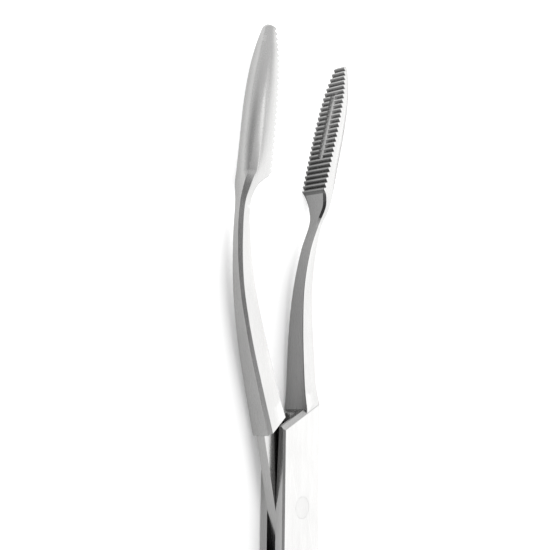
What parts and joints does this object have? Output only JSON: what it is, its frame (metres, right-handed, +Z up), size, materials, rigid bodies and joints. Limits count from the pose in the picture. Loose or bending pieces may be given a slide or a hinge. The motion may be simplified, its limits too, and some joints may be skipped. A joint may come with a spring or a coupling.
{
  "type": "extraction forceps",
  "caption": "Long box-joint extraction forceps: slender curved jaws with cross teeth and a lengthwise groove, on slim shanks with finger rings.",
  "frame": {"origin": "on the joint axis, at the underside of the joint, which is the plane that the forceps rest on", "axes": "+X from the joint along the bisector of the two halves towards the jaw tips, +Z up along the joint axis, +Y to the side of the male half's jaw; the jaws bend towards -Y"},
  "size_m": [0.2403, 0.0934, 0.0064],
  "materials": {
    "satin_steel": "satin brushed stainless steel with polished bevels",
    "pin_steel": "stainless steel ground flush"
  },
  "bodies": {
    "female": {"female_half": "satin_steel", "joint_pin": "pin_steel"},
    "male": {"male_half": "satin_steel"}
  },
  "joints": [
    {"name": "box_joint", "type": "hinge", "parent": "female", "child": "male", "pos_m": [0, 0, 0], "axis": [0, 0, 1], "range_deg": [-14.2, 15.8]}
  ]
}
